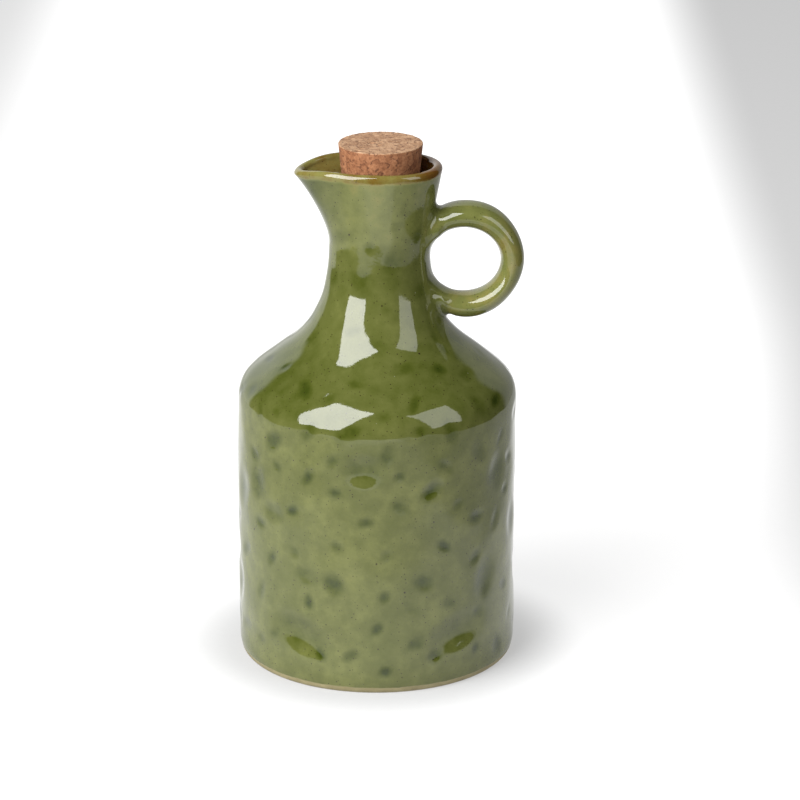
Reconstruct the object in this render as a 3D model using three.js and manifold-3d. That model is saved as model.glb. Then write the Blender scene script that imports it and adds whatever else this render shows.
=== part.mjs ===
// Ceramic oil bottle: a glazed stoneware jug with a pulled pouring lip, a ring handle and a tapered cork.
// Millimetres, +Z up, origin at the middle of the foot. The lip points to -X and the handle to +X.
import * as THREE from "three";
import { mergeVertices } from "three/addons/utils/BufferGeometryUtils.js";
import Module from "manifold-3d";

// Body and shoulder
const BODY_RADIUS = 46.9;
const FOOT_RADIUS = 45.4;
const FOOT_ROUND = 4.5; // height of the rounded edge above the table
const SHOULDER_FOOT = 89; // height where the straight wall ends
const SHOULDER_TOP = 102.2; // height where the shoulder's rounding ends in its slope
const SHOULDER_TOP_RADIUS = 38.7;
const SLOPE = 1.305; // radius lost for each millimetre of height on the shoulder's slope
const NECK_FOOT = 108.1; // height where the slope begins to sweep up into the neck

// Neck, rim and pouring lip
const NECK_RADIUS = 17;
const NECK_WAIST = 142; // height of the narrowest place
const NECK_LEAN = 1.2; // how far the hand-thrown neck stands off the body's axis, towards +X
const LEAN_FROM = 50;
const LEAN_TO = 145;
const MOUTH_LEAN = 0.4; // and how much further its mouth does
const MOUTH_FROM = 138;
const MOUTH_TO = 153;
const RIM_HEIGHT = 170.65;
const RIM_OUTER_RADIUS = 16.95;
const RIM_ROUND = 1.65; // radius of the rounded rim, half the wall's thickness there
const LIP_REACH = 11.7; // how far the lip is pulled out past the round rim, towards -X
const LIP_LIFT = 0.5; // the pull raises the rim a little on both sides of the lip
const LIP_DIP = 2.1; // and turns the lip's point down by this much
const LIP_OUTER_FOOT = 144; // heights where the pull begins, outside and inside
const LIP_INNER_FOOT = 157;
const LIP_SWEEP = 1.5; // power of the pull's growth with height
const LIP_POINT_SHARE = 0.4; // the lip is a broad pull with a narrow point on it
const LIP_POINT_POWER = 15;
const LIP_BROAD_POWER = 2.4;
const BACK_REACH = 3.5; // the rim's flare on the handle's side
const BACK_POWER = 1.5;

// Ring handle: an oval bar bent into a ring that is sunk into the neck
const RING_CENTRE_X = 29.7;
const RING_CENTRE_Z = 137.7;
const RING_RADIUS = 15.7; // to the middle of the bar
const BAR_HALF_THICK = 3.9; // in the ring's plane
const BAR_HALF_WIDE = 6.4; // across the ring
const UPPER_ROOT = 136; // degrees from +X where the bar enters the neck, above and below
const LOWER_ROOT = 127;
const BAR_GROWTH = 0.1; // share by which the bar thickens from its far side to its top and bottom
const ROOT_SPREAD = 20; // degrees over which it swells sideways and outwards into its roots
const ROOT_SWELL = 0.32; // share by which it is thicker there

// Cork: a tapered stopper pressed into the neck
const CORK_TOP_HEIGHT = 177.7;
const CORK_TOP_RADIUS = 14.05;
const CORK_LENGTH = 24;
const CORK_TAPER = 0.1; // radius lost for each millimetre of depth
const CORK_CHAMFER = 0.5;
const CORK_GAP = 0.3; // between the cork and the neck round it
const SEAT_TOP = 162; // the neck is bored to the cork's taper up to here, and opens out above

// Thumb dents: degrees round from the front towards +X, height, half length, half width, tilt and depth
const PRESSED_DENTS = [
  { turn: -5, height: 79, long: 9, wide: 7.4, tilt: 0, depth: 1 },
  { turn: 23, height: 71, long: 5, wide: 3.4, tilt: 35, depth: 0.6 },
  { turn: -33, height: 17, long: 9.4, wide: 5.4, tilt: -18, depth: 1.2 },
  { turn: 36, height: 18, long: 8.8, wide: 5.2, tilt: 15, depth: 1.1 },
  { turn: -72, height: 62, long: 9, wide: 7, tilt: 80, depth: 0.7 },
  { turn: -80, height: 26, long: 10, wide: 6.5, tilt: 75, depth: 0.9 },
  { turn: 74, height: 50, long: 8, wide: 5, tilt: 80, depth: 0.5 },
];
const DENT_TURNS = [0, 131, 229]; // the same hand worked its way round the body
const DENT_LIFT = 9; // each turn sits a little higher

// Facets
const SEGMENTS = 64;
const WALL_STEP = 4;
const CURVE_STEP = 3;
const RIM_STEP = 1;
const CORK_STEP = 8;
const RING_STEPS = 48;
const BAR_SIDES = 16;
const CORK_SEGMENTS = 48;
const WELD = 1e-4;

const wasm = await Module();
wasm.setup();

const point = (radius, height) => new THREE.Vector2(radius, height);
const smoothstep = (low, high, value) => THREE.MathUtils.smoothstep(value, low, high);

function corkRadius(height) {
  return CORK_TOP_RADIUS - CORK_TAPER * (CORK_TOP_HEIGHT - height);
}

function neckLean(height) {
  const neck = NECK_LEAN * smoothstep(LEAN_FROM, LEAN_TO, height);
  return neck + MOUTH_LEAN * smoothstep(MOUTH_FROM, MOUTH_TO, height);
}

// A profile's rows: points along each curve, with the surface that they lie on
function rowsAlong(curves) {
  const rows = [];
  for (const { curve, step, inside } of curves) {
    const steps = Math.max(1, Math.ceil(curve.getLength() / step));
    const points = curve.getSpacedPoints(steps);
    if (rows.length && rows[rows.length - 1].point.distanceTo(points[0]) < WELD) points.shift();
    for (const p of points) rows.push({ point: p, inside });
  }
  return rows;
}

function bottleRows() {
  const foot = point(FOOT_RADIUS, 0);
  const wallFoot = point(BODY_RADIUS, FOOT_ROUND);
  const wallTop = point(BODY_RADIUS, SHOULDER_FOOT);
  const slopeTopRadius = SHOULDER_TOP_RADIUS - SLOPE * (NECK_FOOT - SHOULDER_TOP);
  const slopeFoot = point(SHOULDER_TOP_RADIUS, SHOULDER_TOP);
  const slopeTop = point(slopeTopRadius, NECK_FOOT);
  const waist = point(NECK_RADIUS, NECK_WAIST);
  const rimMiddle = point(RIM_OUTER_RADIUS - RIM_ROUND, RIM_HEIGHT - RIM_ROUND);
  const rimOuter = point(RIM_OUTER_RADIUS, rimMiddle.y);
  const rimInner = point(rimMiddle.x - RIM_ROUND, rimMiddle.y);
  const seatBottom = CORK_TOP_HEIGHT - CORK_LENGTH - CORK_GAP;
  const seatTop = point(corkRadius(SEAT_TOP) + CORK_GAP, SEAT_TOP);
  const seatCorner = point(corkRadius(seatBottom) + CORK_GAP, seatBottom);
  const shoulderPull = 6.8; // reach of each curve's control points
  const slopePull = 4;
  const neckPull = 5;
  const waistPull = 20;
  return rowsAlong([
    { curve: new THREE.LineCurve(point(0, 0), foot), step: FOOT_RADIUS },
    { curve: new THREE.QuadraticBezierCurve(foot, point(BODY_RADIUS - 0.2, 0.8), wallFoot), step: 1.7 },
    { curve: new THREE.LineCurve(wallFoot, wallTop), step: WALL_STEP },
    {
      curve: new THREE.CubicBezierCurve(
        wallTop,
        point(BODY_RADIUS, SHOULDER_FOOT + shoulderPull),
        point(SHOULDER_TOP_RADIUS + SLOPE * slopePull, SHOULDER_TOP - slopePull),
        slopeFoot,
      ),
      step: CURVE_STEP,
    },
    { curve: new THREE.LineCurve(slopeFoot, slopeTop), step: WALL_STEP },
    {
      curve: new THREE.CubicBezierCurve(
        slopeTop,
        point(slopeTopRadius - SLOPE * neckPull, NECK_FOOT + neckPull),
        point(NECK_RADIUS, NECK_WAIST - waistPull),
        waist,
      ),
      step: CURVE_STEP,
    },
    { curve: new THREE.LineCurve(waist, rimOuter), step: CURVE_STEP },
    {
      curve: new THREE.EllipseCurve(rimMiddle.x, rimMiddle.y, RIM_ROUND, RIM_ROUND, 0, Math.PI),
      step: RIM_STEP,
    },
    { curve: new THREE.LineCurve(rimInner, seatTop), step: CURVE_STEP, inside: true },
    { curve: new THREE.LineCurve(seatTop, seatCorner), step: CURVE_STEP, inside: true },
    { curve: new THREE.LineCurve(seatCorner, point(0, seatBottom)), step: FOOT_RADIUS, inside: true },
  ]);
}

function allDents() {
  return DENT_TURNS.flatMap((start, turnIndex) =>
    PRESSED_DENTS.map((dent) => ({
      ...dent,
      turn: dent.turn + start,
      height: dent.height + turnIndex * DENT_LIFT,
    })),
  );
}

// How deep the dents press the wall in, at an angle from the front and a height
function dentDepth(dents, turn, height) {
  let depth = 0;
  for (const dent of dents) {
    const offset = turn - THREE.MathUtils.degToRad(dent.turn);
    const round = BODY_RADIUS * Math.atan2(Math.sin(offset), Math.cos(offset));
    const up = height - dent.height;
    const tilt = THREE.MathUtils.degToRad(dent.tilt);
    const along = (round * Math.cos(tilt) + up * Math.sin(tilt)) / dent.long;
    const across = (up * Math.cos(tilt) - round * Math.sin(tilt)) / dent.wide;
    const left = Math.max(0, 1 - along * along - across * across);
    depth += dent.depth * left * left;
  }
  return depth;
}

// What the hand did to the round rim, at an angle from the front towards +X: outward reach and rise
function rimPull(turn) {
  const lipwards = Math.max(0, -Math.sin(turn));
  const backwards = Math.max(0, Math.sin(turn));
  const broad = lipwards ** LIP_BROAD_POWER;
  const pointed = lipwards ** LIP_POINT_POWER;
  const lip = (1 - LIP_POINT_SHARE) * broad + LIP_POINT_SHARE * pointed;
  return {
    reach: LIP_REACH * lip + BACK_REACH * backwards ** BACK_POWER,
    rise: LIP_LIFT * broad - LIP_DIP * pointed,
  };
}

// A round turned solid, then pulled into its lip, flared, leaned and dented
function bottleWall() {
  const rows = bottleRows();
  const turned = new THREE.LatheGeometry(rows.map((row) => row.point), SEGMENTS).rotateX(Math.PI / 2);
  const places = turned.getAttribute("position");
  const dents = allDents();
  for (let i = 0; i < places.count; i += 1) {
    const { inside } = rows[i % rows.length];
    const height = places.getZ(i);
    const turn = Math.atan2(places.getX(i), -places.getY(i));
    const round = Math.hypot(places.getX(i), places.getY(i));
    const pullFoot = inside ? LIP_INNER_FOOT : LIP_OUTER_FOOT;
    const climbed = Math.max(0, (height - pullFoot) / (RIM_HEIGHT - RIM_ROUND - pullFoot));
    const share = round < WELD ? 0 : Math.min(1, climbed ** LIP_SWEEP);
    const { reach, rise } = rimPull(turn);
    const radius = round + reach * share - (inside ? 0 : dentDepth(dents, turn, height));
    places.setXYZ(
      i,
      Math.max(0, radius) * Math.sin(turn) + neckLean(height),
      -Math.max(0, radius) * Math.cos(turn),
      height + rise * share,
    );
  }
  return turned;
}

// The ring's bar, an oval section that swells where it enters the neck
function handleRing() {
  const ring = new THREE.TorusGeometry(RING_RADIUS, 1, BAR_SIDES, RING_STEPS);
  const places = ring.getAttribute("position");
  for (let i = 0; i < places.count; i += 1) {
    const turn = Math.atan2(places.getY(i), places.getX(i));
    const along = Math.abs(THREE.MathUtils.radToDeg(turn));
    const root = turn > 0 ? UPPER_ROOT : LOWER_ROOT;
    const growth = BAR_GROWTH * (smoothstep(0, 90, along) - smoothstep(90, root, along));
    const flare = ROOT_SWELL * smoothstep(root - ROOT_SPREAD, root, along);
    const outwards = Math.hypot(places.getX(i), places.getY(i)) - RING_RADIUS;
    const thick = BAR_HALF_THICK * (1 + growth + (outwards > 0 ? flare : 0));
    const wide = BAR_HALF_WIDE * (1 + growth + flare);
    const radius = RING_RADIUS + outwards * thick;
    places.setXYZ(i, radius * Math.cos(turn), radius * Math.sin(turn), places.getZ(i) * wide);
  }
  return ring.rotateX(Math.PI / 2).translate(RING_CENTRE_X, 0, RING_CENTRE_Z);
}

// What the ring leaves free inside the neck, so that no part of it stands in the cork's seat
function neckCore() {
  const low = RING_CENTRE_Z - 2 * RING_RADIUS;
  const tall = 4 * RING_RADIUS;
  return new THREE.CylinderGeometry(NECK_RADIUS - 2, NECK_RADIUS - 2, tall, SEGMENTS)
    .rotateX(Math.PI / 2)
    .translate(NECK_LEAN, 0, low + tall / 2);
}

function corkPlug() {
  const top = CORK_TOP_HEIGHT;
  const bottom = top - CORK_LENGTH;
  const bottomEdge = point(corkRadius(bottom) - CORK_CHAMFER, bottom);
  const sideFoot = point(corkRadius(bottom + CORK_CHAMFER), bottom + CORK_CHAMFER);
  const sideTop = point(corkRadius(top - CORK_CHAMFER), top - CORK_CHAMFER);
  const topEdge = point(corkRadius(top) - CORK_CHAMFER, top);
  const outline = rowsAlong([
    { curve: new THREE.LineCurve(point(0, bottom), bottomEdge), step: CORK_STEP },
    { curve: new THREE.LineCurve(sideFoot, sideTop), step: CORK_STEP },
    { curve: new THREE.LineCurve(topEdge, point(0, top)), step: CORK_STEP },
  ]);
  return new THREE.LatheGeometry(outline.map((row) => row.point), CORK_SEGMENTS)
    .rotateX(Math.PI / 2)
    .translate(neckLean(bottom), 0, 0);
}

// A closed geometry as a solid: shared corners are welded and collapsed triangles dropped
function solidOf(geometry) {
  const bare = new THREE.BufferGeometry();
  bare.setAttribute("position", geometry.getAttribute("position"));
  bare.setIndex(geometry.index);
  const welded = mergeVertices(bare, WELD);
  const corners = welded.index.array;
  const triVerts = [];
  for (let i = 0; i < corners.length; i += 3) {
    const [a, b, c] = corners.slice(i, i + 3);
    if (a !== b && b !== c && c !== a) triVerts.push(a, b, c);
  }
  return new wasm.Manifold(
    new wasm.Mesh({
      numProp: 3,
      vertProperties: new Float32Array(welded.getAttribute("position").array),
      triVerts: new Uint32Array(triVerts),
    }),
  );
}

function geometryOf(solid) {
  const { vertProperties, triVerts } = solid.getMesh();
  const geometry = new THREE.BufferGeometry();
  geometry.setAttribute("position", new THREE.BufferAttribute(vertProperties, 3));
  geometry.setIndex(new THREE.BufferAttribute(triVerts, 1));
  geometry.computeVertexNormals();
  return geometry;
}

function named(name, solid, material) {
  const mesh = new THREE.Mesh(geometryOf(solid), material);
  mesh.name = name;
  return mesh;
}

const greenGlaze = new THREE.MeshStandardMaterial({ color: 0x7b7f54, roughness: 0.12, metalness: 0 });
const pressedCork = new THREE.MeshStandardMaterial({ color: 0xb98a62, roughness: 0.85, metalness: 0 });

const ring = solidOf(handleRing()).subtract(solidOf(neckCore()));
const bottle = solidOf(bottleWall()).add(ring);

const oilBottle = new THREE.Group();
oilBottle.add(named("bottle", bottle, greenGlaze));
oilBottle.add(named("cork", solidOf(corkPlug()), pressedCork));

export default oilBottle;
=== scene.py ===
import math
import random

import bpy
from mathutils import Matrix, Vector


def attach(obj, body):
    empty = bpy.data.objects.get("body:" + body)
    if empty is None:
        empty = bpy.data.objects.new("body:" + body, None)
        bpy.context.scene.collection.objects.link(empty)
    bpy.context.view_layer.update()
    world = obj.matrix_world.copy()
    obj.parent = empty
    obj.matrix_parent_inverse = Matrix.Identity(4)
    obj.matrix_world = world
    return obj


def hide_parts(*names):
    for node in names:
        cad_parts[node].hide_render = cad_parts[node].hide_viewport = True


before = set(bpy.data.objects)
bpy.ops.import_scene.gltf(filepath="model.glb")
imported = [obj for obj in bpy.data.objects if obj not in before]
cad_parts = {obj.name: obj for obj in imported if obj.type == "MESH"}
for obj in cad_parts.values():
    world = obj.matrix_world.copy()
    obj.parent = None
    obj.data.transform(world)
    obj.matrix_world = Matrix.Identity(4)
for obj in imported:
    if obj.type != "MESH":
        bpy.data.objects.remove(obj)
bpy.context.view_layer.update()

MM = 0.001

# Sizes of the bottle, in millimetres, as in the solid model
BODY_RADIUS = 46.9
FOOT_RADIUS = 45.4
FOOT_ROUND = 4.5
SHOULDER_FOOT = 89.0
SHOULDER_TOP = 102.2
SHOULDER_TOP_RADIUS = 38.7
SLOPE = 1.305
NECK_FOOT = 108.1
NECK_RADIUS = 17.0
NECK_WAIST = 142.0
RIM_HEIGHT = 170.65
RIM_OUTER_RADIUS = 16.95
RIM_ROUND = 1.65
CORK_TOP_HEIGHT = 177.7
CORK_TOP_RADIUS = 14.05
CORK_LENGTH = 24.0
CORK_TAPER = 0.1
CORK_GAP = 0.3
SEAT_TOP = 162.0
MOUTH_AXIS = 1.6
# How far the curves of the profile are drawn out past their ends
FOOT_PULL = (0.2, 0.8)
SHOULDER_PULL = 6.8
SLOPE_PULL = 4.0
NECK_PULL = 5.0
WAIST_PULL = 20.0
CORK_EDGE = 0.35

# Sizes that the trees take as their named inputs
LEAN = {
    "Neck lean": 1.2,
    "Lean from": 50.0,
    "Lean to": 145.0,
    "Mouth lean": 0.4,
    "Mouth from": 138.0,
    "Mouth to": 153.0,
}
LIP = {
    "Lip reach": 11.7,
    "Lip lift": 0.5,
    "Lip dip": 2.1,
    "Lip foot outside": 144.0,
    "Lip foot inside": 157.0,
    "Lip sweep": 1.5,
    "Lip point share": 0.4,
    "Lip point power": 15.0,
    "Lip broad power": 2.4,
    "Back reach": 3.5,
    "Back power": 1.5,
    "Rim": RIM_HEIGHT - RIM_ROUND,
}
RING = {
    "Centre X": 29.7,
    "Centre Z": 137.7,
    "Ring radius": 15.7,
    "Half thick": 3.9,
    "Half wide": 6.4,
    "Upper root": 136.0,
    "Lower root": 127.0,
    "Growth": 0.1,
    "Root spread": 20.0,
    "Root swell": 0.32,
}
CORK_GRAIN = {"Grain": 2.1, "Grain lift": 0.07, "Seam depth": 0.06, "Pit depth": 0.25}
UNEVEN = {"Wobble": 1.3, "Ripple": 0.24}
FILLET = 3.2
FILLET_CORE = 0.35
FILLET_ROUNDS = 40
WELD = 0.12
COLUMNS = 288
CORK_COLUMNS = 240
RING_STEPS = {"Steps along": 180, "Steps round": 64}
WOBBLE_SPAN = 26.0
RIPPLE_SPAN = 9.0
EVEN_FOOT = (5.0, 14.0)
INNER_WALL_ABOVE = 151.0
INNER_WALL_TO = 18.5

# Deep thumb dents: degrees round from the front, height, half length, half width, tilt, depth and shade
PRESSED_DENTS = (
    (-5, 79, 9, 7.4, 0, 1, 0.25),
    (23, 71, 5, 3.4, 35, 0.6, 0.8),
    (-33, 18.6, 15, 8.6, -18, 2, 0.25),
    (36, 18.7, 14, 8.4, 15, 1.9, 0.25),
    (25, 12, 3.6, 3.2, 0, 0.65, 0.8),
    (-72, 62, 9, 7, 80, 0.7, 0.5),
    (-80, 26, 10, 6.5, 75, 0.9, 0.5),
    (74, 50, 8, 5, 80, 0.5, 0.6),
)
DENT_TURNS = (0, 131, 229)
DENT_LIFT = 9
# Shallow dents over the whole wall, drawn row by row by a seeded rule
SHALLOW_DENTS = {
    "seed": 41,
    "lowest row": 10.0,
    "highest row": 160.0,
    "row squeeze": 0.45,
    "fewest": 5,
    "lowest": 8.0,
    "apart": 10.4,
    "clear": 8.4,
    "slide": 0.8,
    "scatter": 4.5,
    "shortest": 2.4,
    "longest": 6.2,
    "narrowest": 2.4,
    "slim": 0.4,
    "broad": 0.85,
    "tilt": 80.0,
    "palest": 0.3,
    "darkest": 0.9,
    "depth share": 0.1,
    "left on shoulder": 0.5,
    "left on neck": 0.2,
    "shade kept": 0.25,
}
DENTED_TO = 166.0
DENTED_RADIUS = 15.0


class Field:
    """A socket of a node tree that sums and products can be written with."""

    def __init__(self, tree, socket):
        self.tree = tree
        self.socket = socket

    def __add__(self, other):
        return self.tree.math("ADD", self, other)

    def __radd__(self, other):
        return self.tree.math("ADD", other, self)

    def __sub__(self, other):
        return self.tree.math("SUBTRACT", self, other)

    def __rsub__(self, other):
        return self.tree.math("SUBTRACT", other, self)

    def __mul__(self, other):
        return self.tree.math("MULTIPLY", self, other)

    def __rmul__(self, other):
        return self.tree.math("MULTIPLY", other, self)

    def __truediv__(self, other):
        return self.tree.math("DIVIDE", self, other)

    def __rtruediv__(self, other):
        return self.tree.math("DIVIDE", other, self)

    def __pow__(self, other):
        return self.tree.math("POWER", self, other)


class Tree:
    """A node tree and the few moves that build it."""

    def __init__(self, nodes):
        self.nodes = nodes
        self.sockets = {}

    def feed(self, socket, value):
        if isinstance(value, Field):
            self.nodes.links.new(value.socket, socket)
        else:
            socket.default_value = value

    def node(self, kind, feeds=None, **settings):
        made = self.nodes.nodes.new(kind)
        for name, value in settings.items():
            setattr(made, name, value)
        for key, value in (feeds or {}).items():
            self.feed(made.inputs[key], value)
        return made

    def field(self, kind, feeds=None, out=0, **settings):
        return Field(self, self.node(kind, feeds, **settings).outputs[out])

    def math(self, operation, *values):
        return self.field("ShaderNodeMath", dict(enumerate(values)), operation=operation)

    def vmath(self, operation, *values, out=0):
        return self.field("ShaderNodeVectorMath", dict(enumerate(values)), out=out, operation=operation)

    def scaled(self, vector, by):
        return self.field("ShaderNodeVectorMath", {0: vector, "Scale": by}, operation="SCALE")

    def vector(self, x, y, z):
        return self.field("ShaderNodeCombineXYZ", {0: x, 1: y, 2: z})

    def parts(self, vector):
        split = self.node("ShaderNodeSeparateXYZ", {0: vector})
        return [Field(self, out) for out in split.outputs]

    def above(self, value, floor=0.0):
        return self.math("MAXIMUM", value, floor)

    def below(self, value, ceiling=1.0):
        return self.math("MINIMUM", value, ceiling)

    def step(self, value, low, high, to_low=0.0, to_high=1.0):
        feeds = {"Value": value, "From Min": low, "From Max": high, "To Min": to_low, "To Max": to_high}
        return self.field("ShaderNodeMapRange", feeds, interpolation_type="SMOOTHSTEP")

    def mix(self, share, first, second):
        return first + (second - first) * share


class Growth(Tree):
    """A Geometry Nodes tree with named sizes, which a modifier runs on a starting mesh."""

    def __init__(self, name):
        super().__init__(bpy.data.node_groups.new(name, "GeometryNodeTree"))
        self.open_socket("Geometry", "NodeSocketGeometry")
        self.nodes.interface.new_socket(name="Geometry", in_out="OUTPUT", socket_type="NodeSocketGeometry")
        self.source = self.nodes.nodes.new("NodeGroupInput")
        self.start = Field(self, self.source.outputs["Geometry"])

    def open_socket(self, name, kind):
        made = self.nodes.interface.new_socket(name=name, in_out="INPUT", socket_type=kind)
        self.sockets[name] = made.identifier

    def size(self, name, kind="NodeSocketFloat"):
        if name not in self.sockets:
            self.open_socket(name, kind)
        return Field(self, self.source.outputs[name])

    def named(self, name, kind="FLOAT"):
        return self.field("GeometryNodeInputNamedAttribute", {"Name": name}, data_type=kind)

    def picked(self, geometry, value, index, kind="FLOAT"):
        feeds = {"Geometry": geometry, "Value": value, "Index": index}
        return self.field("GeometryNodeSampleIndex", feeds, data_type=kind)

    def shape_of(self, name):
        feeds = {"Object": self.size(name, "NodeSocketObject")}
        return self.field("GeometryNodeObjectInfo", feeds, out="Geometry")

    def distance_to(self, geometry):
        feeds = {"Geometry": geometry}
        return self.field("GeometryNodeProximity", feeds, out="Distance", target_element="FACES")

    def stored(self, geometry, name, value):
        feeds = {"Geometry": geometry, "Name": name, "Value": value}
        return self.field("GeometryNodeStoreNamedAttribute", feeds, data_type="FLOAT", domain="POINT")

    def close(self, geometry, material):
        whole = self.field("GeometryNodeRealizeInstances", {"Geometry": geometry})
        dressed = self.field("GeometryNodeSetMaterial", {"Geometry": whole, "Material": material})
        self.node("NodeGroupOutput", {"Geometry": dressed})
        return self


def placed(name, mesh):
    made = bpy.data.objects.new(name, mesh)
    bpy.context.scene.collection.objects.link(made)
    return made


def grown(piece, growth, sizes):
    """Runs a tree on a piece's mesh and leaves the result as the piece's plain mesh."""
    modifier = piece.modifiers.new("growth", "NODES")
    modifier.node_group = growth.nodes
    for name, value in sizes.items():
        modifier[growth.sockets[name]] = value
    bpy.context.view_layer.update()
    evaluated = piece.evaluated_get(bpy.context.evaluated_depsgraph_get())
    mesh = bpy.data.meshes.new_from_object(evaluated)
    piece.modifiers.clear()
    old = piece.data
    piece.data = mesh
    bpy.data.meshes.remove(old)
    return piece


def removed(*helpers):
    for helper in helpers:
        mesh = helper.data
        bpy.data.objects.remove(helper)
        bpy.data.meshes.remove(mesh)


# Profiles

def bezier(*corners):
    def at(share):
        row = [Vector(corner) for corner in corners]
        while len(row) > 1:
            row = [a.lerp(b, share) for a, b in zip(row, row[1:])]
        return row[0]
    return at


def rounded_rim(share):
    turn = math.pi * share
    middle = Vector((RIM_OUTER_RADIUS - RIM_ROUND, RIM_HEIGHT - RIM_ROUND))
    return middle + RIM_ROUND * Vector((math.cos(turn), math.sin(turn)))


def cork_radius(height):
    return CORK_TOP_RADIUS - CORK_TAPER * (CORK_TOP_HEIGHT - height)


def profile_rows(*stretches):
    """Points along each stretch of a profile as (radius, height, inside)."""
    first = stretches[0][0](0.0)
    rows = [(first.x, first.y, stretches[0][2])]
    for curve, steps, inside in stretches:
        for i in range(1, steps + 1):
            point = curve(i / steps)
            rows.append((point.x, point.y, inside))
    return rows


def bottle_rows():
    slope_top = SHOULDER_TOP_RADIUS - SLOPE * (NECK_FOOT - SHOULDER_TOP)
    seat_bottom = CORK_TOP_HEIGHT - CORK_LENGTH - CORK_GAP
    foot = (FOOT_RADIUS, 0)
    wall_foot = (BODY_RADIUS, FOOT_ROUND)
    wall_top = (BODY_RADIUS, SHOULDER_FOOT)
    slope_foot = (SHOULDER_TOP_RADIUS, SHOULDER_TOP)
    neck_foot = (slope_top, NECK_FOOT)
    waist = (NECK_RADIUS, NECK_WAIST)
    seat_top = (cork_radius(SEAT_TOP) + CORK_GAP, SEAT_TOP)
    seat_corner = (cork_radius(seat_bottom) + CORK_GAP, seat_bottom)
    shoulder_pull = (BODY_RADIUS, SHOULDER_FOOT + SHOULDER_PULL)
    slope_pull = (SHOULDER_TOP_RADIUS + SLOPE * SLOPE_PULL, SHOULDER_TOP - SLOPE_PULL)
    neck_pull = (slope_top - SLOPE * NECK_PULL, NECK_FOOT + NECK_PULL)
    waist_pull = (NECK_RADIUS, NECK_WAIST - WAIST_PULL)
    foot_pull = (BODY_RADIUS - FOOT_PULL[0], FOOT_PULL[1])
    return profile_rows(
        (bezier((0, 0), foot), 8, 0),
        (bezier(foot, foot_pull, wall_foot), 7, 0),
        (bezier(wall_foot, wall_top), 84, 0),
        (bezier(wall_top, shoulder_pull, slope_pull, slope_foot), 20, 0),
        (bezier(slope_foot, neck_foot), 10, 0),
        (bezier(neck_foot, neck_pull, waist_pull, waist), 40, 0),
        (bezier(waist, rounded_rim(0)), 28, 0),
        (rounded_rim, 14, 0),
        (bezier(rounded_rim(1), seat_top), 8, 1),
        (bezier(seat_top, seat_corner), 8, 1),
        (bezier(seat_corner, (0, seat_bottom)), 4, 1),
    )


def cork_rows():
    bottom = CORK_TOP_HEIGHT - CORK_LENGTH
    top = CORK_TOP_HEIGHT
    under_edge = (cork_radius(bottom) - CORK_EDGE, bottom)
    side_foot = (cork_radius(bottom), bottom + CORK_EDGE)
    at_seat = (cork_radius(SEAT_TOP), SEAT_TOP)
    side_top = (cork_radius(top - CORK_EDGE), top - CORK_EDGE)
    top_edge = (CORK_TOP_RADIUS - CORK_EDGE, top)
    return profile_rows(
        (bezier((0, bottom), under_edge), 6, 0),
        (bezier(under_edge, side_foot), 2, 0),
        (bezier(side_foot, at_seat), 20, 0),
        (bezier(at_seat, side_top), 46, 0),
        (bezier(side_top, (CORK_TOP_RADIUS, top), top_edge), 4, 0),
        (bezier(top_edge, (0, top)), 42, 0),
    )


def profile_mesh(name, rows):
    mesh = bpy.data.meshes.new(name)
    points = [(radius, 0, height) for radius, height, _ in rows]
    mesh.from_pydata(points, [(i, i + 1) for i in range(len(rows) - 1)], [])
    inside = mesh.attributes.new("inside", "FLOAT", "POINT")
    inside.data.foreach_set("value", [row[2] for row in rows])
    return mesh


# Trees

def turned(growth):
    """The profile's points swung round the axis: mesh, angle from the front, radius, height and inside."""
    profile = growth.start
    columns = growth.size("Columns", "NodeSocketInt") + 1
    count = growth.field("GeometryNodeAttributeDomainSize", {"Geometry": profile}, component="MESH")
    grid = growth.field("GeometryNodeMeshGrid", {"Vertices X": count, "Vertices Y": columns})
    index = growth.field("GeometryNodeInputIndex")
    row = growth.math("FLOOR", (index + 0.5) / columns)
    turn = (index - row * columns) / (columns - 1) * math.tau
    position = growth.field("GeometryNodeInputPosition")
    radius, _, height = growth.parts(growth.picked(profile, position, row, "FLOAT_VECTOR"))
    inside = growth.picked(profile, growth.named("inside"), row)
    return grid, turn, radius, height, inside


def set_in_place(growth, mesh, x, y, z):
    """Sets a mesh's points from millimetres, and closes its seams and poles."""
    place = growth.scaled(growth.vector(x, y, z), MM)
    moved = growth.field("GeometryNodeSetPosition", {"Geometry": mesh, "Position": place})
    turned_out = growth.field("GeometryNodeFlipFaces", {"Mesh": moved})
    return growth.field("GeometryNodeMergeByDistance", {"Geometry": turned_out, "Distance": 2e-6})


def lean_of(growth, height):
    size = growth.size
    neck = size("Neck lean") * growth.step(height, size("Lean from"), size("Lean to"))
    return neck + size("Mouth lean") * growth.step(height, size("Mouth from"), size("Mouth to"))


def wall_growth(material):
    growth = Growth("thrown_wall")
    size = growth.size
    mesh, turn, radius, height, inside = turned(growth)
    sine = growth.math("SINE", turn)
    lipwards = growth.above(0.0 - sine)
    backwards = growth.above(sine)
    broad = lipwards ** size("Lip broad power")
    pointed = lipwards ** size("Lip point power")
    lip = growth.mix(size("Lip point share"), broad, pointed)
    foot = growth.mix(inside, size("Lip foot outside"), size("Lip foot inside"))
    climbed = growth.above((height - foot) / (size("Rim") - foot))
    share = growth.below(climbed ** size("Lip sweep"))
    reach = size("Lip reach") * lip + size("Back reach") * backwards ** size("Back power")
    rise = size("Lip lift") * broad - size("Lip dip") * pointed
    wide = radius + reach * share
    wall = set_in_place(
        growth,
        mesh,
        wide * sine + lean_of(growth, height),
        0.0 - wide * growth.math("COSINE", turn),
        height + rise * share,
    )
    return growth.close(wall, material)


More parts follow.
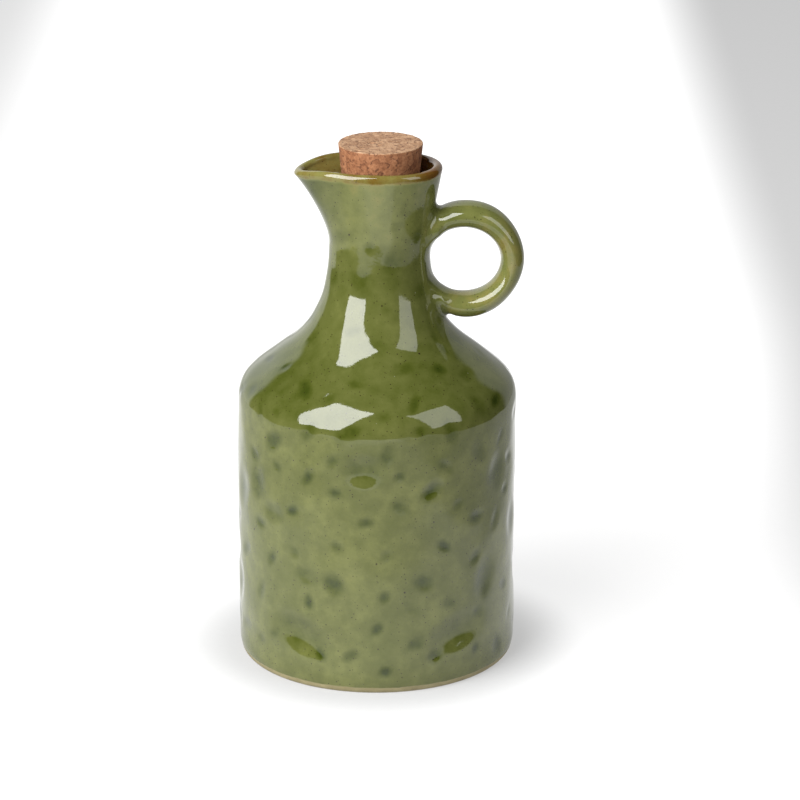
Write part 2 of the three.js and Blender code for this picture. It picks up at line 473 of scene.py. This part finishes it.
def ring_growth(material):
    growth = Growth("ring_handle")
    size = growth.size
    along_steps = size("Steps along", "NodeSocketInt") + 1
    round_steps = size("Steps round", "NodeSocketInt") + 1
    grid = growth.field("GeometryNodeMeshGrid", {"Vertices X": along_steps, "Vertices Y": round_steps})
    index = growth.field("GeometryNodeInputIndex")
    row = growth.math("FLOOR", (index + 0.5) / round_steps)
    along = row / (along_steps - 1) * math.tau - math.pi
    section = (index - row * round_steps) / (round_steps - 1) * math.tau
    degrees = growth.math("DEGREES", growth.math("ABSOLUTE", along))
    upper = growth.math("GREATER_THAN", along, 0.0)
    root = growth.mix(upper, size("Lower root"), size("Upper root"))
    thickened = growth.step(degrees, 0.0, 90.0) - growth.step(degrees, 90.0, root)
    swell = 1.0 + size("Growth") * thickened
    flare = size("Root swell") * growth.step(degrees, root - size("Root spread"), root)
    outwards = growth.math("COSINE", section)
    outer_flare = flare * growth.math("GREATER_THAN", outwards, 0.0)
    radius = size("Ring radius") + outwards * size("Half thick") * (swell + outer_flare)
    ring = set_in_place(
        growth,
        grid,
        size("Centre X") + radius * growth.math("COSINE", along),
        growth.math("SINE", section) * size("Half wide") * (swell + flare),
        size("Centre Z") + radius * growth.math("SINE", along),
    )
    return growth.close(ring, material)


def joined_growth(material):
    """Wall and ring become one skin, and the corner between them is filled as wet clay is with a finger."""
    growth = Growth("luted_handle")
    ring = growth.shape_of("Ring")
    union = growth.node("GeometryNodeMeshBoolean", operation="UNION", solver="MANIFOLD")
    for geometry in (growth.start, ring):
        growth.nodes.links.new(geometry.socket, union.inputs["Mesh 2"])
    joined = Field(growth, union.outputs["Mesh"])
    skin = growth.field("GeometryNodeMergeByDistance", {"Geometry": joined, "Distance": WELD * MM})
    nearest = growth.math("MAXIMUM", growth.distance_to(growth.start), growth.distance_to(ring))
    fillet = growth.size("Fillet") * MM
    corner = growth.step(nearest, fillet, fillet * FILLET_CORE)
    held = growth.stored(skin, "corner", corner)
    position = growth.field("GeometryNodeInputPosition")
    feeds = {"Value": position, "Iterations": FILLET_ROUNDS, "Weight": growth.named("corner")}
    eased = growth.field("GeometryNodeBlurAttribute", feeds, data_type="FLOAT_VECTOR")
    filled = growth.field("GeometryNodeSetPosition", {"Geometry": held, "Position": eased})
    return growth.close(filled, material)


def repeated(growth, geometry, times, change):
    """Applies a change to a geometry once for each number from 0 up."""
    first = growth.node("GeometryNodeRepeatInput")
    last = growth.node("GeometryNodeRepeatOutput")
    first.pair_with_output(last)
    growth.feed(first.inputs["Iterations"], times)
    growth.feed(first.inputs["Geometry"], geometry)
    changed = change(Field(growth, first.outputs["Geometry"]), Field(growth, first.outputs["Iteration"]))
    growth.feed(last.inputs["Geometry"], changed)
    return Field(growth, last.outputs["Geometry"])


def rolling(growth, position, span, detail):
    """A soft noise about nought whose hills lie about a span of millimetres apart."""
    feeds = {"Vector": position, "Scale": 1 / (span * MM), "Detail": detail}
    return growth.field("ShaderNodeTexNoise", feeds) - 0.5


def dented_growth(material):
    """Presses each dent into the skin, and keeps where glaze pools and which wall is the inner one."""
    growth = Growth("thumb_dents")
    marks = growth.shape_of("Marks")
    position = growth.field("GeometryNodeInputPosition")
    normal = growth.field("GeometryNodeInputNormal")

    def one_dent(skin, number):
        offset = growth.vmath("SUBTRACT", position, growth.picked(marks, position, number, "FLOAT_VECTOR"))

        def square(axis):
            direction = growth.picked(marks, growth.named(axis, "FLOAT_VECTOR"), number, "FLOAT_VECTOR")
            length = growth.vmath("DOT_PRODUCT", offset, direction, out="Value")
            return length * length

        left = growth.above(1.0 - square("along") - square("across") - square("through"))
        depth = growth.picked(marks, growth.named("depth"), number) * left * left
        shade = growth.picked(marks, growth.named("shade"), number) * left ** 1.5
        pressed = growth.stored(skin, "press", growth.named("press") + depth)
        return growth.stored(pressed, "pool", growth.math("MAXIMUM", growth.named("pool"), shade))

    count = growth.field("GeometryNodeAttributeDomainSize", {"Geometry": marks}, component="MESH")
    blank = growth.stored(growth.stored(growth.start, "press", 0.0), "pool", 0.0)
    marked = repeated(growth, blank, count, one_dent)
    x, y, height = growth.parts(position)
    facing = growth.vmath("DOT_PRODUCT", normal, growth.vector(x, y, 0.0), out="Value")
    turned_in = growth.math("LESS_THAN", facing, 0.0)
    high = growth.math("GREATER_THAN", height, INNER_WALL_ABOVE * MM)
    inner = turned_in * high * growth.math("LESS_THAN", x, INNER_WALL_TO * MM)
    held = growth.stored(marked, "inner", inner)
    wobble = rolling(growth, position, WOBBLE_SPAN, 1.0) * growth.size("Wobble")
    ripple = rolling(growth, position, RIPPLE_SPAN, 0.0) * growth.size("Ripple")
    foot, wall = EVEN_FOOT
    uneven = (wobble + ripple) * growth.step(height, foot * MM, wall * MM) * (1.0 - inner)
    press = growth.scaled(normal, (uneven - growth.named("press")) * MM)
    pressed = growth.field("GeometryNodeSetPosition", {"Geometry": held, "Offset": press})
    smooth = growth.field("GeometryNodeSetShadeSmooth", {0: pressed})
    return growth.close(smooth, material)


def cork_growth(material):
    growth = Growth("cork_grain")
    mesh, turn, radius, height, _ = turned(growth)
    plug = set_in_place(
        growth,
        mesh,
        radius * growth.math("SINE", turn) + growth.size("Axis X"),
        0.0 - radius * growth.math("COSINE", turn),
        height,
    )
    position = growth.field("GeometryNodeInputPosition")
    feeds = {"Vector": position, "Scale": 1.0 / (growth.size("Grain") * MM)}
    seam = growth.field("ShaderNodeTexVoronoi", feeds, feature="DISTANCE_TO_EDGE")
    cell = growth.node("ShaderNodeTexVoronoi", feeds, feature="F1")
    lift, _, pit = growth.parts(Field(growth, cell.outputs["Color"]))
    groove = growth.step(seam, 0.1, 0.0) * growth.size("Seam depth")
    hollow = growth.step(pit, 0.9, 0.97) * growth.step(seam, 0.02, 0.2) * growth.size("Pit depth")
    depth = (lift - 0.5) * growth.size("Grain lift") - groove - hollow
    press = growth.scaled(growth.field("GeometryNodeInputNormal"), depth * MM)
    pressed = growth.field("GeometryNodeSetPosition", {"Geometry": plug, "Offset": press})
    smooth = growth.field("GeometryNodeSetShadeSmooth", {0: pressed})
    return growth.close(smooth, material)


# Dents

def lean_at(height):
    def step(low, high):
        share = min(1.0, max(0.0, (height - low) / (high - low)))
        return share * share * (3 - 2 * share)
    neck = LEAN["Neck lean"] * step(LEAN["Lean from"], LEAN["Lean to"])
    return neck + LEAN["Mouth lean"] * step(LEAN["Mouth from"], LEAN["Mouth to"])


def outer_wall():
    """The outside of the wall from the foot to below the rim, as (radius, height) points."""
    outside = [(radius, height) for radius, height, inside in bottle_rows() if not inside]
    return [(r, h) for r, h in outside if FOOT_ROUND <= h <= DENTED_TO and r > DENTED_RADIUS]


def wall_frame(wall, degrees, height):
    """A point of the wall with its directions round, up and out."""
    below = max(i for i in range(len(wall) - 1) if wall[i][1] <= height)
    (r0, h0), (r1, h1) = wall[below], wall[below + 1]
    share = (height - h0) / (h1 - h0)
    radius = r0 + (r1 - r0) * share
    turn = math.radians(degrees)
    outwards = Vector((math.sin(turn), -math.cos(turn), 0))
    round_ = Vector((math.cos(turn), math.sin(turn), 0))
    up = (outwards * (r1 - r0) + Vector((0, 0, h1 - h0))).normalized()
    place = outwards * radius + Vector((lean_at(height), 0, height))
    return place, round_, up, round_.cross(up)


def mark(wall, degrees, height, long, wide, tilt, depth, shade):
    place, round_, up, out = wall_frame(wall, degrees, height)
    turn = math.radians(tilt)
    along = round_ * math.cos(turn) + up * math.sin(turn)
    across = up * math.cos(turn) - round_ * math.sin(turn)
    reach = max(long, wide) + (LIP["Lip reach"] if height > LIP["Lip foot outside"] else 0)
    return {
        "place": place * MM,
        "along": along / (long * MM),
        "across": across / (wide * MM),
        "through": out / (reach * MM),
        "depth": depth,
        "shade": shade,
    }


def share_left(height):
    """How much of a shallow dent is left at a height: all of it on the body, little on the neck."""
    if height < SHOULDER_FOOT:
        return 1.0
    return SHALLOW_DENTS["left on shoulder" if height < NECK_FOOT else "left on neck"]


def pressed_marks(wall):
    marks = []
    for round_index, start in enumerate(DENT_TURNS):
        for degrees, height, *form in PRESSED_DENTS:
            marks.append(mark(wall, degrees + start, height + round_index * DENT_LIFT, *form))
    return marks


def shallow_marks(wall, marks):
    """Adds the shallow dents, each kept where it is clear of those before it."""
    rule = SHALLOW_DENTS
    draw = random.Random(rule["seed"])
    height = rule["lowest row"]
    while height < rule["highest row"]:
        place, _, up, _ = wall_frame(wall, 0, height)
        count = max(rule["fewest"], round(math.tau * place.xy.length / rule["apart"]))
        for i in range(count):
            degrees = 360 * (i + draw.uniform(0, rule["slide"])) / count
            level = max(rule["lowest"], height + draw.uniform(-rule["scatter"], rule["scatter"]))
            long = draw.uniform(rule["shortest"], rule["longest"])
            wide = max(rule["narrowest"], long * draw.uniform(rule["slim"], rule["broad"]))
            tilt = draw.uniform(-rule["tilt"], rule["tilt"])
            left = share_left(level)
            kept = rule["shade kept"] + (1 - rule["shade kept"]) * left
            shade = draw.uniform(rule["palest"], rule["darkest"]) * kept
            made = mark(wall, degrees, level, long, wide, tilt, rule["depth share"] * wide * left, shade)
            if all((made["place"] - other["place"]).length > rule["clear"] * MM for other in marks):
                marks.append(made)
        height += rule["apart"] * max(rule["row squeeze"], up.z)
    return marks


def marks_object():
    wall = outer_wall()
    marks = shallow_marks(wall, pressed_marks(wall))
    mesh = bpy.data.meshes.new("marks")
    mesh.from_pydata([m["place"] for m in marks], [], [])
    for name in ("along", "across", "through"):
        layer = mesh.attributes.new(name, "FLOAT_VECTOR", "POINT")
        layer.data.foreach_set("vector", [value for m in marks for value in m[name]])
    for name in ("depth", "shade"):
        layer = mesh.attributes.new(name, "FLOAT", "POINT")
        layer.data.foreach_set("value", [m[name] for m in marks])
    return placed("marks", mesh)


# Finishes

def finish_tree(name):
    material = bpy.data.materials.new(name)
    material.use_nodes = True
    tree = Tree(material.node_tree)
    shader = material.node_tree.nodes["Principled BSDF"]
    return material, tree, shader


def in_millimetres(tree):
    return tree.scaled(tree.field("ShaderNodeTexCoord", out="Object"), 1 / MM)


def noise(tree, place, size, detail=2.0, roughness=0.5, out=0):
    feeds = {"Vector": place, "Scale": 1 / size, "Detail": detail, "Roughness": roughness}
    return tree.field("ShaderNodeTexNoise", feeds, out=out)


def tinted(tree, share, first, second, blend="MIX"):
    feeds = {0: share, 6: first, 7: second}
    return tree.field("ShaderNodeMix", feeds, out=2, data_type="RGBA", blend_type=blend)


def ramp(tree, share, stops):
    made = tree.node("ShaderNodeValToRGB", {"Fac": share})
    elements = made.color_ramp.elements
    while len(elements) < len(stops):
        elements.new(0.5)
    for element, (at, colour) in zip(elements, stops):
        element.position = at
        element.color = (*colour, 1)
    return Field(tree, made.outputs["Color"])


def specks(tree, place, spacing, share, size):
    """Small round specks, in some of the cells of a scattered pattern."""
    cell = tree.node("ShaderNodeTexVoronoi", {"Vector": place, "Scale": 1 / spacing}, feature="F1")
    chance, grade, _ = tree.parts(Field(tree, cell.outputs["Color"]))
    there = tree.math("LESS_THAN", chance, share)
    edge = (0.35 + grade * 0.65) * (size / spacing)
    return there * tree.step(Field(tree, cell.outputs["Distance"]), edge, edge * 0.55)


# Glaze, by how thick it lies: amber where it is thin, dark green where it pools
GLAZE_COLOURS = [
    (0.0, (0.12, 0.05, 0.008)),
    (0.13, (0.13, 0.08, 0.013)),
    (0.28, (0.18, 0.165, 0.047)),
    (0.38, (0.133, 0.143, 0.04)),
    (0.5, (0.098, 0.108, 0.0275)),
    (0.75, (0.055, 0.067, 0.0095)),
    (1.0, (0.026, 0.038, 0.003)),
]
CLAY_COLOURS = [(0.3, (0.22, 0.185, 0.085)), (0.7, (0.31, 0.265, 0.135))]
DARK_SPECK = (0.02, 0.011, 0.005, 1)
PALE_SPECK = (0.3, 0.3, 0.22, 1)
PLAIN_GLAZE = 0.48
GLAZE_IOR = 1.6

# Where the glaze changes, as millimetres from and to
ZONES = {
    "handle across": (20.0, 25.0),
    "handle up": (112.0, 120.0),
    "handle top": (143.0, 153.0),
    "lip across": (-14.0, -28.0),
    # Under the lip the glaze is thickened and darkened as painted shade
    "lip under": (-22.0, -15.0),
    "rim": (167.2, 168.6),
    "upper neck": (138.0, 152.0),
    "shoulder foot": (88.0, 98.0),
    "shoulder top": (106.0, 120.0),
    "shoulder left": (-10.0, -32.0),
    "clay foot": (2.4, 1.8),
}


def glaze_thickness(tree, place, clouds, mottle, fine):
    """Thick in dents and on the shoulder, thin on the rim, the handle and the upper neck, and thick under
    the lip as painted shade.
    """
    x, _, z = tree.parts(place)
    pool = tree.field("ShaderNodeAttribute", out="Fac", attribute_name="pool")
    inner = tree.field("ShaderNodeAttribute", out="Fac", attribute_name="inner")
    handle = tree.step(x, *ZONES["handle across"]) * tree.step(z, *ZONES["handle up"])
    lip_drop = tree.step(x, *ZONES["lip across"]) * 1.6
    rim = tree.math("MAXIMUM", tree.step(z + lip_drop, *ZONES["rim"]), inner)
    rim_thin = rim * (0.27 + tree.step(clouds + x * 0.006, 0.4, 0.62) * 0.24)
    handle_thin = handle * tree.step(z, *ZONES["handle top"], 0.19, 0.04)
    neck = tree.step(z, *ZONES["upper neck"]) * (1.0 - rim)
    # The upper neck is thinner, but under the lip thicker and darker: painted shade
    neck_thin_and_lip_shade = neck * tree.step(x, *ZONES["lip under"], -0.2, 0.09)
    shoulder = tree.step(z, *ZONES["shoulder foot"]) - tree.step(z, *ZONES["shoulder top"]) * 0.6
    shoulder_thick = shoulder * tree.step(x, *ZONES["shoulder left"], 0.12, 0.24)
    pool_thick = pool * (0.6 + (mottle - 0.5) * 0.8)
    uneven = (clouds - 0.5) * (0.32 - handle * 0.2) + (mottle - 0.5) * 0.3 + (fine - 0.5) * 0.08
    return PLAIN_GLAZE + uneven + pool_thick + shoulder_thick - rim_thin - handle_thin - neck_thin_and_lip_shade


def speckled(tree, place, colour):
    """Fine dark specks, some larger dark ones and a few pale ones."""
    small = specks(tree, place, spacing=1.15, share=0.7, size=0.27)
    large = specks(tree, place, spacing=4.6, share=0.45, size=0.45)
    pale = specks(tree, place, spacing=6.1, share=0.16, size=0.3)
    darkened = tinted(tree, tree.math("MAXIMUM", small, large) * 0.9, colour, DARK_SPECK)
    return tinted(tree, pale * 0.5, darkened, PALE_SPECK)


def glaze_finish():
    """Translucent green glaze on buff stoneware, with a line of bare clay at the foot."""
    material, tree, shader = finish_tree("green_glaze")
    place = in_millimetres(tree)
    clouds = noise(tree, place, 20.0, 3.0, 0.55)
    mottle = noise(tree, place, 5.0, 3.0, 0.6)
    fine = noise(tree, place, 0.8, 2.0)
    thickness = glaze_thickness(tree, place, clouds, mottle, fine)
    colour = speckled(tree, place, ramp(tree, thickness, GLAZE_COLOURS))
    _, _, z = tree.parts(place)
    foot = tree.step(z + (mottle - 0.5) * 0.8, *ZONES["clay foot"])
    colour = tinted(tree, foot, colour, ramp(tree, mottle, CLAY_COLOURS))
    tree.feed(shader.inputs["Base Color"], colour)
    tree.feed(shader.inputs["Roughness"], 0.05 + (mottle - 0.5) * 0.03 + foot * 0.6)
    shader.inputs["IOR"].default_value = GLAZE_IOR
    bump = {"Height": fine + mottle * 2.0, "Strength": 0.05, "Distance": 0.15 * MM}
    tree.feed(shader.inputs["Normal"], tree.field("ShaderNodeBump", bump))
    return material


CORK_COLOURS = [
    (0.3, (0.23, 0.115, 0.055)),
    (0.45, (0.33, 0.182, 0.095)),
    (0.6, (0.4, 0.235, 0.13)),
    (0.8, (0.48, 0.3, 0.18)),
]
CORK_CRACK = (0.1, 0.042, 0.02, 1)
CORK_PORE = (0.085, 0.038, 0.02, 1)
# Painted shade, with a browner tint, on the side of the cork
SIDE_SHADE_AND_TINT = (0.8, 0.57, 0.44, 1)
CORK_FLAKE = 2.4


def cork_finish():
    """Pressed cork grains of many browns, with dark cracks and pores, darker and redder on the side: partly
    the cork's own browner side, partly painted shade.
    """
    material, tree, shader = finish_tree("pressed_cork")
    place = in_millimetres(tree)
    _, _, z = tree.parts(place)
    wander = noise(tree, place, 1.4, 3.0, out="Color")
    bent = tree.vmath("ADD", place, tree.scaled(tree.vmath("SUBTRACT", wander, (0.5, 0.5, 0.5)), 2.2))
    flakes = {"Vector": bent, "Scale": 1 / CORK_FLAKE}
    cell = tree.node("ShaderNodeTexVoronoi", flakes, feature="F1")
    tone, _, _ = tree.parts(Field(tree, cell.outputs["Color"]))
    seam = tree.field("ShaderNodeTexVoronoi", flakes, feature="DISTANCE_TO_EDGE")
    streak = noise(tree, place, 1.1, 5.0, 0.7)
    fine = noise(tree, place, 0.3, 2.0)
    tone = tone * 0.26 + (streak - 0.5) * 1.25 + (fine - 0.5) * 0.3 + 0.4
    colour = ramp(tree, tone, CORK_COLOURS)
    cracks = tree.step(seam, 0.1, 0.01) * tree.step(noise(tree, place, 1.7, 2.0), 0.46, 0.58)
    colour = tinted(tree, cracks * 0.8, colour, CORK_CRACK)
    pores = specks(tree, bent, spacing=1.3, share=0.4, size=0.5)
    colour = tinted(tree, pores * 0.75, colour, CORK_PORE)
    # The side of the cork is darkened and reddened: partly painted shade, partly the cork's own browner
    # side
    side = tree.step(z, CORK_TOP_HEIGHT - 0.15, CORK_TOP_HEIGHT - CORK_EDGE)
    side_shade_and_tint = tinted(tree, side, (1, 1, 1, 1), SIDE_SHADE_AND_TINT)
    tree.feed(shader.inputs["Base Color"], tinted(tree, 1.0, colour, side_shade_and_tint, "MULTIPLY"))
    tree.feed(shader.inputs["Roughness"], 0.82 + (fine - 0.5) * 0.2)
    bump = {"Height": streak + fine * 0.5, "Strength": 0.35, "Distance": 0.2 * MM}
    tree.feed(shader.inputs["Normal"], tree.field("ShaderNodeBump", bump))
    return material


# Pieces

def make_bottle():
    glaze = glaze_finish()
    bottle = placed("bottle_skin", profile_mesh("bottle_skin", bottle_rows()))
    grown(bottle, wall_growth(glaze), {"Columns": COLUMNS, **LEAN, **LIP})
    ring = placed("ring", bpy.data.meshes.new("ring"))
    grown(ring, ring_growth(glaze), {**RING_STEPS, **RING})
    grown(bottle, joined_growth(glaze), {"Ring": ring, "Fillet": FILLET})
    marks = marks_object()
    grown(bottle, dented_growth(glaze), {"Marks": marks, **UNEVEN})
    removed(ring, marks)
    return bottle


def make_cork():
    cork = placed("cork_plug", profile_mesh("cork_plug", cork_rows()))
    sizes = {"Columns": CORK_COLUMNS, "Axis X": MOUTH_AXIS, **CORK_GRAIN}
    return grown(cork, cork_growth(cork_finish()), sizes)


# Studio

TABLE = {"left": -0.46, "right": 0.38, "front": -0.6, "back": 1.6}
KEY = {"turn": -46.0, "lift": 37.0, "width": 1.0, "height": 1.7, "power": 47.0}
FILL = {"turn": 56.0, "lift": 29.0, "width": 0.66, "height": 1.26, "power": 7.0}
LIGHT_RANGE = 1.35
LIGHT_AIM = Vector((0, 0, 0.12))
CAMERA = {"lens": 177.4, "range": 1.331, "drop": 19.2, "aim": Vector((0.008, 0, 0.0877))}

# Painted light on the table: a glow by distance from the bottle, lower close to it as a painted shadow, and
# by depth, brighter behind; and painted shade that dims it to the sides and in front
TABLE_GREYS = [(0.0, (0.25, 0.25, 0.25)), (1.0, (0.27, 0.27, 0.27))]
PAINTED_SHADOW_ROUND = (0.045, 0.075, 0.42, 0.79)
PAINTED_GLOW_BACK = (0.08, 0.38, 0.0, 0.3)
PAINTED_SHADE_RIGHT = (0.13, 0.19, 0.0, 0.6)
PAINTED_SHADE_LEFT = (-0.15, -0.22, 0.0, 0.45)
PAINTED_SHADE_FRONT = (-0.1, -0.2, 0.0, 0.45)
PAINTED_SHADE_FRONT_END = (-0.3, -0.4, 0.0, 0.45)

# The room as the glaze sees it
SWEEP_FROM = (0.56, 0.66)
SWEEP_STRENGTH = (-0.35, 0.35, 1.05, 0.45)
ROOM_STRENGTH = 0.02
SEEN_STRENGTH = 1.05


def softbox(name, turn, lift, width, height, power):
    data = bpy.data.lights.new(name, "AREA")
    data.shape = "RECTANGLE"
    data.size = width
    data.size_y = height
    data.energy = power
    light = placed(name, data)
    side, up = math.radians(turn), math.radians(lift)
    towards = Vector((math.sin(side) * math.cos(up), -math.cos(side) * math.cos(up), math.sin(up)))
    light.location = LIGHT_AIM + towards * LIGHT_RANGE
    light.rotation_euler = (-towards).to_track_quat("-Z", "Y").to_euler()
    light.visible_camera = False


def pale_floor():
    """An over-bright white table that glows, dimmer close round the bottle as a painted shadow and to the
    sides and in front as painted shade, and that also takes a real soft shadow.
    """
    left, right, front, back = TABLE.values()
    corners = [(left, front, 0), (right, front, 0), (right, back, 0), (left, back, 0)]
    mesh = bpy.data.meshes.new("table")
    mesh.from_pydata(corners, [], [(0, 1, 2, 3)])
    material, tree, shader = finish_tree("white_table")
    grain = noise(tree, in_millimetres(tree), 3.0)
    tree.feed(shader.inputs["Base Color"], ramp(tree, grain, TABLE_GREYS))
    shader.inputs["Roughness"].default_value = 0.9
    shader.inputs["Specular IOR Level"].default_value = 0.0
    shader.inputs["Emission Color"].default_value = (1, 1, 1, 1)
    x, y, _ = tree.parts(tree.field("ShaderNodeTexCoord", out="Object"))
    away = tree.math("SQRT", x * x + y * y)
    # The table glows though it is no lamp: painted light, lower close round the bottle as a painted shadow
    painted_glow = tree.step(away, *PAINTED_SHADOW_ROUND) + tree.step(y, *PAINTED_GLOW_BACK)
    # Painted shade dims the glow to the sides and in front
    painted_side_shade = 1.0 - tree.step(x, *PAINTED_SHADE_RIGHT) - tree.step(x, *PAINTED_SHADE_LEFT)
    before = 1.0 - tree.step(y, *PAINTED_SHADE_FRONT) + tree.step(y, *PAINTED_SHADE_FRONT_END)
    tree.feed(shader.inputs["Emission Strength"], painted_glow * painted_side_shade * before)
    mesh.materials.append(material)
    placed("table", mesh)


def studio_world():
    """White to the camera. To the glaze, a white sweep behind the bottle and a dim room in front."""
    world = bpy.data.worlds.new("studio")
    world.use_nodes = True
    tree = Tree(world.node_tree)
    x, y, _ = tree.parts(tree.field("ShaderNodeTexCoord", out="Generated"))
    room = ROOM_STRENGTH + tree.step(y, *SWEEP_FROM) * tree.step(x, *SWEEP_STRENGTH)
    seen = tree.field("ShaderNodeLightPath", out="Is Camera Ray")
    background = world.node_tree.nodes["Background"]
    background.inputs["Color"].default_value = (1, 1, 1, 1)
    tree.feed(background.inputs["Strength"], tree.math("MAXIMUM", room, seen * SEEN_STRENGTH))
    bpy.context.scene.world = world


def photo_camera():
    data = bpy.data.cameras.new("camera")
    data.sensor_width = 36
    data.lens = CAMERA["lens"]
    data.clip_end = 20
    camera = placed("camera", data)
    drop = math.radians(CAMERA["drop"])
    camera.location = CAMERA["aim"] + CAMERA["range"] * Vector((0, -math.cos(drop), math.sin(drop)))
    camera.rotation_euler = (math.pi / 2 - drop, 0, 0)
    bpy.context.scene.camera = camera


bottle = make_bottle()
cork = make_cork()
for piece, node, slot in ((bottle, "bottle", "glaze"), (cork, "cork", "cork")):
    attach(piece, "root")
    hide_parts(node)

photo_camera()
pale_floor()
studio_world()
softbox("key_softbox", **KEY)
softbox("fill_softbox", **FILL)
bpy.context.scene.view_settings.view_transform = "Standard"
